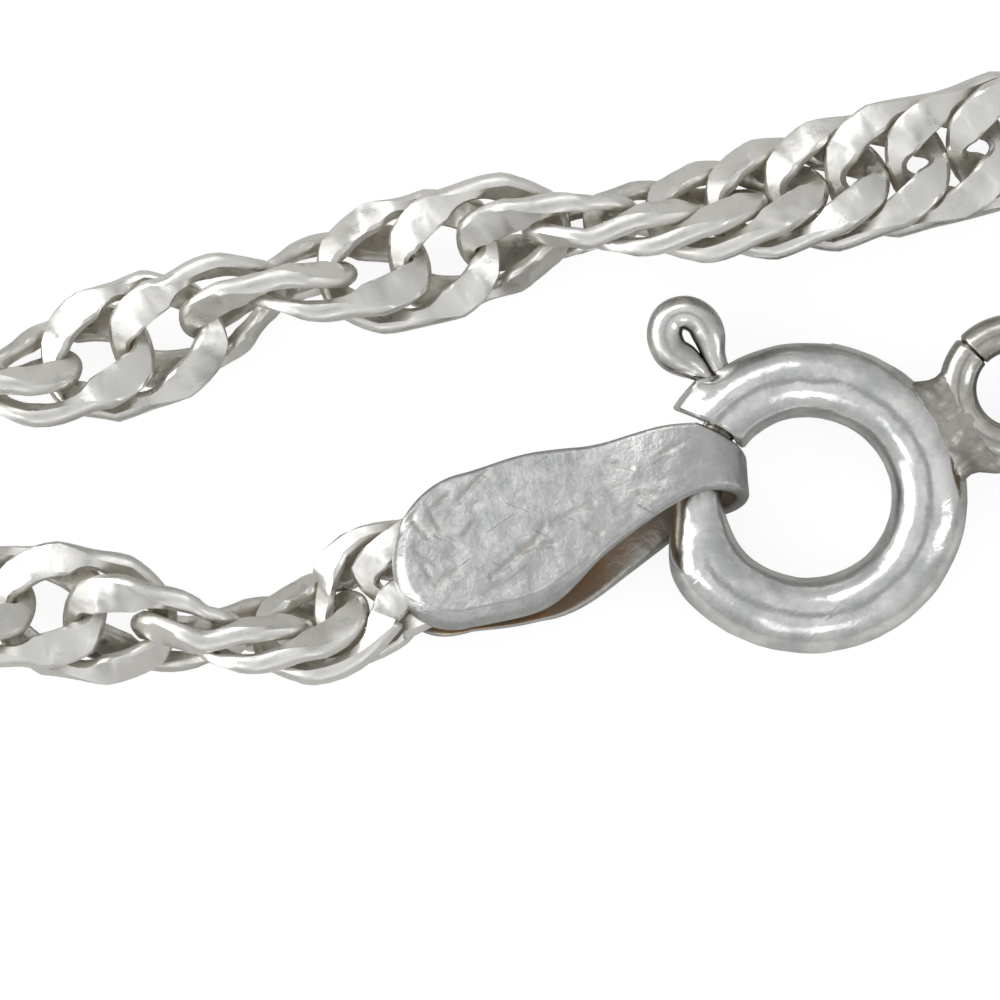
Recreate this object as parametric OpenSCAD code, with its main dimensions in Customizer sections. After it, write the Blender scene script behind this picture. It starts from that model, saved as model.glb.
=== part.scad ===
// A silver singapore chain necklace, lying closed on a surface: a twisted double curb chain
// with a folded end tag at each end and a bolt ring clasp. Millimetres, +Z up, the surface at 0.

/* [Chain] */
// Half of the twisted chain's width, the radius of the room that its links turn in
chain_r = 1.3; // [1.1:0.05:1.3]
// Half thickness of the last link, which lies between a tag's two leaves
chain_end_r = 0.26; // [0.2:0.02:0.28]
// Clearance between the chain and a tag's tip
chain_gap = 0.12; // [0.1:0.02:0.2]

/* [Clasp ring] */
// Outside diameter of the bolt ring
ring_d = 6; // [5.9:0.05:6.1]
// Diameter of the ring's round tube
tube_d = 1.39; // [1.3:0.01:1.45]
// Bore of the tube, which the trigger wire slides in
bore_d = 0.82; // [0.8:0.01:0.84]
// Angle of the tube's open end at the knob's side of the gap, counterclockwise from +X
gap_start = 141; // [136:1:142]
// Angle of the tube's receiving end at the far side of the gap
gap_end = 188; // [188:1:192]
// Outside diameter of the receiving end's drawn-in mouth
mouth_d = 0.96; // [0.94:0.01:0.98]
// Length over which the receiving end draws in
mouth_len = 0.8; // [0.5:0.1:1]
// Angle where the knob's slot in the tube begins
slot_start = 83; // [76:1:84]
// Width of the slot that the knob's stem slides in
slot_w = 0.7; // [0.64:0.02:0.8]
// Outside diameter of the closed eye
eye_d = 2.93; // [2.85:0.01:3]
// Wire diameter of the eye
eye_wire_d = 0.74; // [0.66:0.02:0.76]
// Direction of the eye from the ring's centre
eye_angle = 29; // [26:1:32]
// Distance from the ring's centre to the eye's centre
eye_reach = 4.44; // [4.42:0.01:4.46]
// Thickness of the solder web between ring and eye
web_t = 0.62; // [0.5:0.02:0.64]
// Radius of the solder fillets beside the web
web_fillet = 0.35; // [0.25:0.05:0.5]

/* [Trigger] */
// Diameter of the sprung gate wire
wire_d = 0.66; // [0.6:0.02:0.68]
// Angle of the wire's tail inside the tube
tail_angle = 100; // [98:1:106]
// Angle of the wire's tip, inside the receiving end
tip_angle = 191; // [190:1:194]
// Direction of the thumb knob from the ring's centre
knob_angle = 128; // [127:1:130]
// Distance from the ring's centre to the knob's centre
knob_reach = 4.06; // [4:0.01:4.08]
// Wire diameter of the knob's loop
knob_wire_d = 0.58; // [0.54:0.02:0.6]
// Diameter of the knob's stem
stem_d = 0.52; // [0.44:0.02:0.52]
// Outside diameter of the knob's loop
knob_d = 1.42; // [1.34:0.02:1.44]

/* [End tags] */
// Thickness of the tag's flattened strip
strip_t = 0.26; // [0.22:0.02:0.28]
// Length of the tag from the fold's centre to its tip
tag_len = 6.2; // [5.8:0.1:6.6]
// Width of the strip at the fold
neck_w = 1; // [0.9:0.02:1.04]
// Width of the tag's rounded lobe
lobe_w = 2.86; // [2.6:0.02:3]
// Distance from the fold's centre to where the lobe's round end begins to narrow
lobe_start = 3.3; // [3:0.1:3.6]
// Inside radius of the fold round the wire
fold_r = 0.72; // [0.71:0.01:0.74]
// Clear height between the two leaves at the lobe
leaf_gap = 0.76; // [0.72:0.02:0.84]
// Distance from the fold's centre over which the leaves close up
leaf_close = 2.2; // [1.8:0.1:2.8]
// Sideways bend of the tag past its neck
tag_bend = 11; // [9:0.5:12]
// Direction in which the hooked tag's neck points away from the ring
hook_heading = 186; // [185:0.5:187]
// Direction in which the eye's tag's neck points away from the ring
eye_heading = -18; // [-20:1:-16]
// Sideways roll of the hooked tag as it lies
hook_roll = 20; // [16:1:21]
// Sideways roll of the eye's tag as it lies
eye_roll = 8; // [0:1:14]

/* [Place] */
// Centre of the bolt ring, across
ring_x = -40; // [-40.2:0.1:-39.8]
// Centre of the bolt ring, along
ring_y = -3.5; // [-3.7:0.1:-3.4]
// How far the gate lies above the middle of the hooked tag's fold
ring_rise = 0.08; // [0.06:0.01:0.1]

/* [Hidden] */

$fn = 64;

// Points of the chain's centre line, in order from the hooked tag round to the eye's tag
chain_points = [
    [-49.3, -5.4], [-50.3, -5.9], [-52, -6.1], [-56, -5.6],
    [-60.5, -6.1], [-65, -8.2], [-69.2, -11], [-74, -12.4], [-78.6, -11.2],
    [-82, -7.8], [-83.1, -3.2], [-82, 1.4], [-78.6, 4.8], [-74, 6],
    [-69.4, 4.8], [-65.2, 2], [-60.8, -0.6], [-56, -1.1],
    [-52, 0.2], [-48.1, 1.1], [-44.2, 2], [-40.3, 2.8], [-36.4, 3.6],
    [-31.6, 5.3], [-27.4, 9.2], [-22, 16.6], [-16.4, 24.4], [-10.4, 32.6],
    [-3.1, 40.2], [5.1, 45.9], [14.4, 49.9], [24.2, 52.1], [36.1, 52.2], [49.4, 49],
    [62.2, 41.9], [73.1, 30.9], [80.5, 16.2], [83.1, 0], [80.5, -16.2], [73.1, -30.9],
    [62.2, -41.9], [49.4, -49], [36.1, -52.2], [24.2, -52.1], [14.4, -49.9], [5.1, -45.9],
    [-3.1, -40.2], [-10.2, -33], [-15.2, -25.8], [-18.4, -18.6], [-20.4, -12],
    [-22.2, -7.2], [-25.2, -3.8]
];

tube_sides = 8;

// Length of chain between two rings of the tube, near three diameters at most
ring_step = 5.8 * chain_r;

// The tube lies on one of its flats
chain_z = chain_r * cos(180 / tube_sides);

// How deep the last link lies between the leaves, and the length over which the tube widens
stub_len = 0.7;
shoulder = 0.2;
shoulder_r = 0.75 * chain_r;

tube_r = tube_d / 2;
bore_r = bore_d / 2;
ring_mid = ring_d / 2 - tube_r;
wire_r = wire_d / 2;
eye_r = eye_d / 2;
eye_wire_r = eye_wire_d / 2;
eye_mid = eye_r - eye_wire_r;
knob_wire_r = knob_wire_d / 2;
knob_mid = knob_d / 2 - knob_wire_r;
mouth_r = mouth_d / 2;

// Where the drawn-in mouth meets the tube it is a little slimmer than the tube, and it runs
// along a chord of the ring that ends inside the tube
mouth_root_r = 0.95 * tube_r;
mouth_chord = 2 * asin(mouth_len / 2 / ring_mid);
mouth_turn = -mouth_chord / 2;
mouth_angle = gap_end + 0.7 * mouth_chord;

// The wire's tip draws in over this length, to this share of its radius
tip_len = 0.14;
tip_share = 0.5;
tip_root_r = 0.95 * wire_r;

// How far the web's fillets reach into the metal of the ring and the eye
web_bite = 0.04;

// Spare length of a cutting or trimming shape past the surface that it passes
spare = 0.5;

neck_half = neck_w / 2;
lobe_r = lobe_w / 2;
fold_out = fold_r + strip_t;
leaf_in = leaf_gap / 2;
leaf_out = leaf_in + strip_t;

// The straight neck ends where the concave flanks begin
neck_end = 0.5;
flank_run = lobe_start - neck_end;
flank_r = (flank_run * flank_run + neck_half * neck_half - lobe_r * lobe_r)
    / (2 * (lobe_r - neck_half));
flank_sweep = asin(flank_run / (flank_r + lobe_r));
arc_steps = 8;

// The hooked tag's fold touches the surface with its lower corner, and the eye's tag lies with
// the middle of its fold a little below the eye's
eye_drop = 0.1;
hook_z = fold_out * cos(hook_roll) + neck_half * sin(hook_roll);
ring_z = hook_z + ring_rise;
eye_tag_z = max(ring_z - eye_drop, fold_out * cos(eye_roll) + neck_half * sin(eye_roll));

function turn(a) = [cos(a), sin(a)];

ring_at = [ring_x, ring_y];
eye_at = ring_at + eye_reach * turn(eye_angle);

// Angle on the gate where the hooked tag hangs, and how far in its fold lies past the wire
hook_angle = 172.5;
hook_slack = 0.09;
hook_at = ring_at + ring_mid * turn(hook_angle) - hook_slack * turn(hook_heading);
eye_tag_at = eye_at + eye_mid * turn(eye_heading);

// Each tag's place: the middle of its fold in plan, its height, heading and roll
hook_place = [hook_at, hook_z, hook_heading, hook_roll];
eye_place = [eye_tag_at, eye_tag_z, eye_heading, eye_roll];

// The tag's middle line in its own plan, and where a point past its tip comes to lie
function tag_lean(x) = max(0, x - neck_end) * tan(tag_bend);
function past_tip(place, past) =
    let (x = tag_len + past, y = tag_lean(x))
    place[0] + x * turn(place[2]) + y * cos(place[3]) * turn(place[2] + 90);
function tip_z(place) = place[1] + tag_lean(tag_len) * sin(place[3]);

// The chain's centre line runs from one tag's tip to the other's
chain_path = concat(
    [past_tip(hook_place, chain_gap + shoulder)],
    chain_points,
    [past_tip(eye_place, chain_gap + shoulder)]
);
path_end = len(chain_path) - 1;
path_lead = concat(
    [past_tip(hook_place, -shoulder)],
    chain_path,
    [past_tip(eye_place, -shoulder)]
);

// A smooth curve through four neighbours, and its direction, at share t between the middle two
function curve(a, b, c, d, t) =
    b + (c - a) * t / 2
    + (2 * a - 5 * b + 4 * c - d) * t * t / 2
    + (3 * b - 3 * c + d - a) * t * t * t / 2;
function curve_dir(a, b, c, d, t) =
    (c - a) / 2
    + (2 * a - 5 * b + 4 * c - d) * t
    + (3 * b - 3 * c + d - a) * t * t * 1.5;

// One ring of the tube: its place, direction, radius and height
function ring_row(at, dir, r, z) = [at, dir / norm(dir), r, z];
function tag_rows(place) =
    let (dir = past_tip(place, 1) - past_tip(place, 0), z = tip_z(place))
    [
        ring_row(past_tip(place, -stub_len), dir, chain_end_r, z),
        ring_row(past_tip(place, chain_gap), dir, chain_end_r, z),
        ring_row(past_tip(place, chain_gap), dir, shoulder_r, chain_z)
    ];
function flipped(rows) = [
    for (i = [len(rows) - 1:-1:0]) ring_row(rows[i][0], -rows[i][1], rows[i][2], rows[i][3])
];
chain_rows = [
    for (i = [0:path_end - 1])
        let (steps = max(1, round(norm(chain_path[i + 1] - chain_path[i]) / ring_step)))
        for (k = [0:steps - 1])
            let (a = path_lead[i], b = path_lead[i + 1], c = path_lead[i + 2],
                d = path_lead[i + 3])
            ring_row(curve(a, b, c, d, k / steps), curve_dir(a, b, c, d, k / steps),
                chain_r, chain_z)
];
last_dir = chain_path[path_end] - path_lead[path_end];
last_row = ring_row(chain_path[path_end], last_dir, chain_r, chain_z);
all_rows = concat(
    tag_rows(hook_place),
    chain_rows,
    [last_row],
    flipped(tag_rows(eye_place))
);

function ring_point(row, side) =
    let (a = (side + 0.5) * 360 / tube_sides, across = [-row[1].y, row[1].x])
    [row[0].x + row[2] * cos(a) * across.x, row[0].y + row[2] * cos(a) * across.y,
        row[3] + row[2] * sin(a)];

// A closed tube over rows of rings, with a flat cap at each end
module swept_tube(rows) {
    sides = [0:tube_sides - 1];
    last = (len(rows) - 1) * tube_sides;
    points = [for (row = rows) for (side = sides) ring_point(row, side)];
    walls = [
        for (i = [0:len(rows) - 2]) for (side = sides)
            let (a = i * tube_sides + side, b = i * tube_sides + (side + 1) % tube_sides)
            each [[a, a + tube_sides, b + tube_sides], [a, b + tube_sides, b]]
    ];
    first_cap = [[for (side = sides) side]];
    last_cap = [[for (side = [tube_sides - 1:-1:0]) last + side]];
    polyhedron(points, concat(walls, first_cap, last_cap));
}

// The whole chain as one tube of its own width, its last links drawn in between the leaves
module chain() {
    color("silver") swept_tube(all_rows);
}

// A stretch of round wire or bore bent round the ring's centre
module ring_arc(r, from, to) {
    translate([ring_x, ring_y, ring_z]) rotate([0, 0, from])
        rotate_extrude(angle = to - from) translate([ring_mid, 0]) circle(r);
}

// Solder that fills the corners between ring and eye, in plan
module web_plan() {
    out = tube_r + ring_mid + web_fillet - web_bite;
    far = eye_r + web_fillet - web_bite;
    x = (eye_reach * eye_reach + out * out - far * far) / (2 * eye_reach);
    y = sqrt(out * out - x * x);
    difference() {
        polygon([[0, 0], [x, y], [eye_reach, 0], [x, -y]]);
        for (side = [-1, 1]) translate([x, side * y]) circle(web_fillet);
        circle(ring_mid);
        translate([eye_reach, 0]) circle(eye_mid);
    }
}

module clasp_ring() {
    color("gainsboro") difference() {
        union() {
            ring_arc(tube_r, mouth_angle - 360, gap_start);
            translate([ring_x, ring_y, ring_z]) rotate([0, 0, gap_end])
                translate([ring_mid, 0, 0]) rotate([-90, 0, 0]) rotate([0, mouth_turn, 0])
                    cylinder(h = mouth_len, r1 = mouth_r, r2 = mouth_root_r);
            translate([eye_at.x, eye_at.y, ring_z])
                rotate_extrude() translate([eye_mid, 0]) circle(eye_wire_r);
            translate([ring_x, ring_y, ring_z - web_t / 2]) rotate([0, 0, eye_angle])
                linear_extrude(web_t) web_plan();
        }
        ring_arc(bore_r, gap_end - mouth_chord - 360, gap_start + 1);
        translate([ring_x, ring_y, ring_z]) rotate([0, 0, slot_start])
            rotate_extrude(angle = gap_start + 1 - slot_start)
                translate([ring_mid, -slot_w / 2]) square([ring_mid, slot_w]);
    }
}

// The gate wire with a drawn-in tip, and the thumb knob bent from thinner wire
module trigger() {
    stem_end = knob_reach - knob_mid;
    color("lightgray") {
        ring_arc(wire_r, tail_angle, tip_angle);
        translate([ring_x, ring_y, ring_z]) {
            rotate([0, 0, tip_angle]) translate([ring_mid, -tip_len, 0]) rotate([-90, 0, 0])
                cylinder(h = 2 * tip_len, r1 = tip_root_r, r2 = tip_share * wire_r);
            rotate([0, 0, knob_angle]) {
                translate([ring_mid, 0, 0]) rotate([0, 90, 0])
                    cylinder(h = stem_end - ring_mid, d = stem_d);
                translate([knob_reach, 0, 0])
                    rotate_extrude() translate([knob_mid, 0]) circle(knob_wire_r);
            }
        }
    }
}

// Points of an arc, without its last one
function arc_points(at, r, from, to) = [
    for (k = [0:arc_steps - 1]) at + r * turn(from + (to - from) * k / arc_steps)
];

// The tag's outline in plan: a straight neck, concave flanks and a round lobe to one side
module tag_plan() {
    half = concat(
        [[-fold_out - spare, neck_half]],
        arc_points([neck_end, neck_half + flank_r], flank_r, -90, -90 + flank_sweep),
        arc_points([lobe_start, 0], lobe_r, 90 + flank_sweep, 90),
        arc_points([tag_len - lobe_r, 0], lobe_r, 90, 0),
        [[tag_len, 0]]
    );
    upper = [for (p = half) [p.x, tag_lean(p.x) + p.y]];
    lower = [for (i = [len(half) - 2:-1:0]) [half[i].x, tag_lean(half[i].x) - half[i].y]];
    polygon(concat(upper, lower));
}

// The strip seen from its edge: the fold and two leaves that close up towards the lobe
module tag_side() {
    polygon(concat(
        [[tag_len + spare, leaf_out], [leaf_close, leaf_out]],
        arc_points([0, 0], fold_out, 90, 180),
        arc_points([0, 0], fold_out, 180, 270),
        [[0, -fold_out], [leaf_close, -leaf_out], [tag_len + spare, -leaf_out]],
        [[tag_len + spare, -leaf_in], [leaf_close, -leaf_in]],
        arc_points([0, 0], fold_r, 270, 180),
        arc_points([0, 0], fold_r, 180, 90),
        [[0, fold_r], [leaf_close, leaf_in], [tag_len + spare, leaf_in]]
    ));
}

module end_tag(place) {
    translate([place[0].x, place[0].y, place[1]]) rotate([0, 0, place[2]])
        rotate([place[3], 0, 0]) intersection() {
            rotate([90, 0, 0])
                linear_extrude(2 * lobe_w, center = true) tag_side();
            linear_extrude(2 * (fold_out + spare), center = true) tag_plan();
        }
}

module hook_tag() {
    color("gainsboro") end_tag(hook_place);
}

module eye_tag() {
    color("gainsboro") end_tag(eye_place);
}

chain();
hook_tag();
clasp_ring();
trigger();
eye_tag();
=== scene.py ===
import math

import bmesh
import bpy
import numpy as np
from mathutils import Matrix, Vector, noise


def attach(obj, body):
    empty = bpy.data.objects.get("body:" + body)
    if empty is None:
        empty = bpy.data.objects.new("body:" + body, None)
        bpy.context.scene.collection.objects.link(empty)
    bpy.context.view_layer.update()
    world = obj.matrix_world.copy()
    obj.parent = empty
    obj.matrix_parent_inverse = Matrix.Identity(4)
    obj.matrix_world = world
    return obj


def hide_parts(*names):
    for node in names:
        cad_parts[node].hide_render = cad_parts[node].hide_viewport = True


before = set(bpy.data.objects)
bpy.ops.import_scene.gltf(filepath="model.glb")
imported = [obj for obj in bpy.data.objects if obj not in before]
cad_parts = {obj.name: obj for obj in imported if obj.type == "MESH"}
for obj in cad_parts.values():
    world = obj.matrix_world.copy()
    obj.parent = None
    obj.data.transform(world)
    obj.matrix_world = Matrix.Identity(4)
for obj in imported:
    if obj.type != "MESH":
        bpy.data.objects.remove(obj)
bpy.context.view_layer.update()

# The photograph's camera: a macro lens looks straight down on the clasp where the two ends of
# the necklace meet, with the rest of the loop out of its view on every side.
MM = 0.001
VIEW_CENTRE = Vector((-46.156, -3.5195, 1.2)) * MM
VIEW_WIDTH = 19.544 * MM
CAMERA_DISTANCE = 170 * MM

camera_data = bpy.data.cameras.new("macro_camera")
camera_data.sensor_width = 36
camera_data.lens = camera_data.sensor_width * CAMERA_DISTANCE / VIEW_WIDTH
camera_data.clip_start = 0.01
camera_data.clip_end = 10
camera = bpy.data.objects.new("macro_camera", camera_data)
camera.location = VIEW_CENTRE + Vector((0, 0, CAMERA_DISTANCE))
bpy.context.scene.collection.objects.link(camera)
bpy.context.scene.camera = camera

# The chain: about 330 curb links of round silver wire, each passed through the next two. The
# linked ribbon is twisted along its whole length, and its faces are then cut flat and bright
# with a diamond tool. It lies on the surface on the edges of its turns.
CHAIN_ROUTE = [
    (-49.3, -5.9), (-50.3, -6.1), (-52, -6.15), (-54, -5.8), (-56, -5.6),
    (-60.5, -6.1), (-65, -8.2), (-69.2, -11), (-74, -12.4), (-78.6, -11.2),
    (-82, -7.8), (-83.1, -3.2), (-82, 1.4), (-78.6, 4.8), (-74, 6),
    (-69.4, 4.8), (-65.2, 2), (-60.8, -0.6), (-56, -1.2), (-54, -0.7), (-52.5, -0.2),
    (-51, 0.55), (-48, 1.1), (-46.2, 1.65), (-44.2, 1.9), (-42.2, 2.1), (-40.3, 2.5),
    (-38.3, 3.0), (-36.4, 3.5), (-31.6, 5.3), (-27.4, 9.2), (-22, 16.6), (-16.4, 24.4),
    (-10.4, 32.6), (-3.1, 40.2), (5.1, 45.9), (14.4, 49.9), (24.2, 52.1), (36.1, 52.2), (49.4, 49),
    (62.2, 41.9), (73.1, 30.9), (80.5, 16.2), (83.1, 0), (80.5, -16.2), (73.1, -30.9),
    (62.2, -41.9), (49.4, -49), (36.1, -52.2), (24.2, -52.1), (14.4, -49.9), (5.1, -45.9),
    (-3.1, -40.2), (-10.2, -33), (-15.2, -25.8), (-18.4, -18.6), (-20.4, -12),
    (-22.2, -7.2), (-25.2, -3.8),
]
CHAIN_HEIGHT = 1.2
# The route is drawn with this many points from one of its corners to the next
POINTS_BETWEEN = 12
# A link's wire line: half its length, half its width, how much more pointed than an oval it
# is, and how far its bars rise and dip
LINK_REACH = 1.63
LINK_SPREAD = 1.12
LINK_PEAK = 0.05
LINK_WEAVE = 0.42
# Half the wire's thickness, and what rolling and cutting add to a bar's width and take off it
WIRE_HALF = 0.2
BAR_WIDER = 0.13
BAR_THINNER = 0.04
# The diamond tool's level above and below the ribbon's middle
CUT_LEVEL = 0.53
# A bar's section, one row a corner: its angle on the round wire, then its share of the cut
# bar's half width and half thickness
QUARTER = [(12, 1, 0.2), (38, 0.96, 0.62), (64, 0.8, 1)]
HALF = QUARTER + [(180 - a, -w, t) for a, w, t in QUARTER[::-1]]
FINE_SECTION = HALF + [(a + 180, -w, -t) for a, w, t in HALF]
PLAIN_SECTION = [(0, 1, 0), (58, 0.8, 1), (122, -0.8, 1), (180, -1, 0), (238, -0.8, -1),
                 (302, 0.8, -1)]
# The ribbon's length from one place where it stands on edge to the next
HALF_TURN = 5.75
# The clasp ring's middle and its gate's reach, the distance and angle of its eye from there, and
# the reach of the eye's wire
RING_AT = np.array([-40.0, -3.5])
RING_MID = 2.305
EYE_REACH = 4.44
EYE_ANGLE = 29
EYE_MID = 1.095
# The end tags' length, and the bend of their middle line and where it starts
TAG_LENGTH = 6.2
TAG_BEND = 11
BEND_START = 0.5
# Each tag's heading. The hooked tag hangs at this angle on the gate, and a little back.
HOOK_HEADING = 186
EYE_HEADING = -18
HOOK_ANGLE = 172.5
HOOK_BACK = 0.09
# The pinched link lies a little to the far side of the tag's middle line
LAST_LINK_SIDE = 0.22
# The chain's line runs straight into each tag: how far, in how many points, and the two places
# past the tag's tip that set its direction
INSIDE_TAG = 2.6
INSIDE_POINTS = 8
AT_TIP = (-0.2, 0.32)


def heading(degrees):
    return np.array([math.cos(math.radians(degrees)), math.sin(math.radians(degrees))])


HOOK_FOLD = RING_AT + RING_MID * heading(HOOK_ANGLE) - HOOK_BACK * heading(HOOK_HEADING)
EYE_FOLD = RING_AT + EYE_REACH * heading(EYE_ANGLE) + EYE_MID * heading(EYE_HEADING)
# Each tag's fold in plan, the height of its middle, its heading and its roll
HOOK_PLACE = (HOOK_FOLD, 1.0923, HOOK_HEADING, 20)
EYE_PLACE = (EYE_FOLD, 1.0723, EYE_HEADING, 8)


def tag_lean(x):
    return max(0.0, x - BEND_START) * math.tan(math.radians(TAG_BEND))


def past_tip(place, past):
    """Plan position on the tag's middle line, a length past its tip."""
    x = TAG_LENGTH + past
    side = (tag_lean(x) + LAST_LINK_SIDE) * math.cos(math.radians(place[3]))
    return place[0] + x * heading(place[2]) + side * heading(place[2] + 90)


def tip_height(place):
    return place[1] + tag_lean(TAG_LENGTH) * math.sin(math.radians(place[3]))


def smooth_line(corners, steps):
    """A smooth line through all corners but the first and the last, which only steer it."""
    points = []
    for a, b, c, d in zip(corners, corners[1:], corners[2:], corners[3:]):
        for t in np.arange(steps) / steps:
            points.append(b + (c - a) * t / 2 + (2 * a - 5 * b + 4 * c - d) * t * t / 2
                          + (3 * b - 3 * c + d - a) * t ** 3 / 2)
    return points + [corners[-2]]


def chain_line():
    """The chain's centre line, from inside one tag to inside the other."""
    ends = [[past_tip(p, past) for past in AT_TIP] for p in (HOOK_PLACE, EYE_PLACE)]
    corners = ends[0] + [np.array(p, float) for p in CHAIN_ROUTE] + ends[1][::-1]
    inside = np.linspace(-INSIDE_TAG, 0, INSIDE_POINTS)
    start = [past_tip(HOOK_PLACE, past) for past in inside]
    end = [past_tip(EYE_PLACE, past) for past in inside]
    return np.array(start + smooth_line(corners, POINTS_BETWEEN) + end[::-1])


line = chain_line()
along = np.r_[0, np.cumsum(np.linalg.norm(np.diff(line, axis=0), axis=1))]
tip_at = along[INSIDE_POINTS - 1]
end_at = along[-INSIDE_POINTS]
along -= tip_at
end_at -= tip_at

# Where the ribbon stands on edge in the photograph: in mm of chain from the hooked tag's tip,
# and on the upper run the places' X. Past the last of them the next half turn is a long one.
ON_EDGE = [3.9, 9.8]
UPPER_EDGE_X = [-56.2, -50.6, -44.5]
LONG_HALF_TURN = 14
# The tables by length start and end this far past the tags' tips, and the ribbon comes down
# from the tag's height to its own over a short run
PAST_TIPS = 3
RUN_DOWN = 4
upper_run = (line[:, 1] > -2) & (line[:, 0] > -60) & (line[:, 0] < -34)
upper_edge = list(np.interp(UPPER_EDGE_X, line[upper_run, 0], along[upper_run]))
turn_at = [-PAST_TIPS, 0] + ON_EDGE + upper_edge + [upper_edge[-1] + LONG_HALF_TURN]
turns = [HOOK_PLACE[3], HOOK_PLACE[3], 90, 270]
middle = round((upper_edge[0] - ON_EDGE[1]) / HALF_TURN)
turns += [270 + 180 * (middle + k) for k in range(3)]
turns += [turns[-1] + 180]
rest = round((end_at - turn_at[-1]) / HALF_TURN - 0.5)
turn_at += [end_at, end_at + PAST_TIPS]
turns += [turns[-1] + 90 + 180 * rest - EYE_PLACE[3]] * 2
turned = np.interp(along, turn_at, turns)
run_at = [0, RUN_DOWN, end_at - RUN_DOWN, end_at]
height = np.interp(along, run_at, [tip_height(HOOK_PLACE), CHAIN_HEIGHT, CHAIN_HEIGHT,
                                   tip_height(EYE_PLACE)])

route_data = bpy.data.curves.new("chain_route", "CURVE")
route_data.dimensions = "3D"
spline = route_data.splines.new("POLY")
spline.points.add(len(line) - 1)
for point, place, z, turn in zip(spline.points, line, height, turned):
    point.co = (place[0] * MM, place[1] * MM, z * MM, 1)
    point.tilt = math.radians(turn)
chain_route = bpy.data.objects.new("chain_route", route_data)
bpy.context.scene.collection.objects.link(chain_route)


def curb_link(name, bends, section):
    """One closed link of wire. Its front bars rise over the next link and its back bars pass
    under; the wire is round at its ends, wide and flat along its bars, and the bars' outer faces
    are cut to one plane."""
    around = np.arange(bends) * 2 * math.pi / bends
    length = (np.cos(around) + LINK_PEAK * np.cos(3 * around)) / (1 + LINK_PEAK)
    width = (np.sin(around) - LINK_PEAK * np.sin(3 * around)) / (1 + LINK_PEAK)
    centre = np.stack([LINK_REACH * length, LINK_SPREAD * width,
                       -LINK_WEAVE * np.sin(2 * around)], 1)
    forward = np.roll(centre, -1, 0) - np.roll(centre, 1, 0)
    forward /= np.linalg.norm(forward, axis=1)[:, None]
    up = np.array([0.0, 0, 1]) - forward * forward[:, 2:]
    up /= np.linalg.norm(up, axis=1)[:, None]
    out = np.cross(forward, up)
    cut = np.clip(1.6 * np.sin(2 * around) ** 2, 0, 1)
    half_wide = WIRE_HALF + BAR_WIDER * cut
    half_thick = WIRE_HALF - BAR_THINNER * cut
    corners = len(section)
    points = []
    for i in range(bends):
        for angle, wide, thick in section:
            c, s = heading(angle)
            u = (c + (wide - c) * cut[i]) * half_wide[i]
            v = (s + (thick - s) * cut[i]) * half_thick[i]
            point = centre[i] + out[i] * u + up[i] * v
            point[2] = np.clip(point[2], -CUT_LEVEL, CUT_LEVEL)
            points.append(point)
    faces = []
    for i in range(bends):
        j = (i + 1) % bends
        for k in range(corners):
            m = (k + 1) % corners
            faces.append((i * corners + k, j * corners + k, j * corners + m, i * corners + m))
    mesh = bpy.data.meshes.new(name)
    mesh.from_pydata([tuple(p * MM) for p in points], [], faces)
    mesh.shade_smooth()
    mesh.set_sharp_from_angle(angle=math.radians(32))
    link = bpy.data.objects.new(name, mesh)
    bpy.context.scene.collection.objects.link(link)
    return link


# The first link's middle is inside the tag. Links lie this far apart, by length of chain: close
# together where the photograph shows it slack, and farther where it is drawn out.
FIRST_LINK = -1.1
LINKS_APART = [(-3, 1.2), (2.5, 1.2), (4, 1.4), (8, 1.4), (12, 1.37), (70, 1.43), (86, 1.43),
               (88.5, 1.21), (98, 1.21), (103, 1.37)]
APART_STEP = 0.5
# The chain that the camera sees, by length: up to the first place and between the other two
IN_VIEW = (11, 73, 100)
# A link between a tag's leaves is pinched: by what share of its length, width and thickness
PINCH = (0.05, 0.16, 0.36)
PINCH_RUN = (-0.9, 0.5)


def link_row():
    """The links' middles along the chain, with whether each is in the camera's view and how much
    it is pinched."""
    apart = np.interp(np.arange(-PAST_TIPS, end_at + PAST_TIPS, APART_STEP),
                      *np.array(LINKS_APART).T)
    places = [FIRST_LINK]
    while places[-1] < end_at - FIRST_LINK:
        places.append(places[-1] + apart[int((places[-1] + PAST_TIPS) / APART_STEP)])
    places = np.array(places) - np.linspace(0, places[-1] - end_at + FIRST_LINK, len(places))
    mesh = bpy.data.meshes.new("link_row")
    mesh.from_pydata([(p * MM, 0, 0) for p in places], [], [])
    seen = mesh.attributes.new("seen", "BOOLEAN", "POINT")
    seen.data.foreach_set("value", [bool(p < IN_VIEW[0] or IN_VIEW[1] < p < IN_VIEW[2])
                                    for p in places])
    pinched = mesh.attributes.new("pinched", "FLOAT_VECTOR", "POINT")
    inside = np.minimum(places, end_at - places)
    share = np.interp(inside, PINCH_RUN, [1, 0])
    pinched.data.foreach_set("vector", (1 - np.outer(share, PINCH)).ravel())
    return mesh


def add_node(tree, kind, inputs=None, **settings):
    """Adds one node with its settings and its inputs: values, other nodes' sockets, or other
    nodes, whose first output is taken."""
    node = tree.nodes.new(kind)
    for name, value in settings.items():
        setattr(node, name, value)
    for key, value in (inputs or {}).items():
        if isinstance(value, bpy.types.Node):
            value = value.outputs[0]
        if isinstance(value, bpy.types.NodeSocket):
            tree.links.new(value, node.inputs[key])
        else:
            node.inputs[key].default_value = value
    return node


def finish_colour(code):
    """A colour given as an sRGB hex code, as the linear values that a shader takes."""
    parts = [int(code[i:i + 2], 16) / 255 for i in (1, 3, 5)]
    return tuple(p / 12.92 if p <= 0.04045 else ((p + 0.055) / 1.055) ** 2.4 for p in parts) + (1,)


def bare_material(name):
    """A new material and its empty node tree."""
    material = bpy.data.materials.new(name)
    material.use_nodes = True
    material.node_tree.nodes.clear()
    return material, material.node_tree


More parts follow.
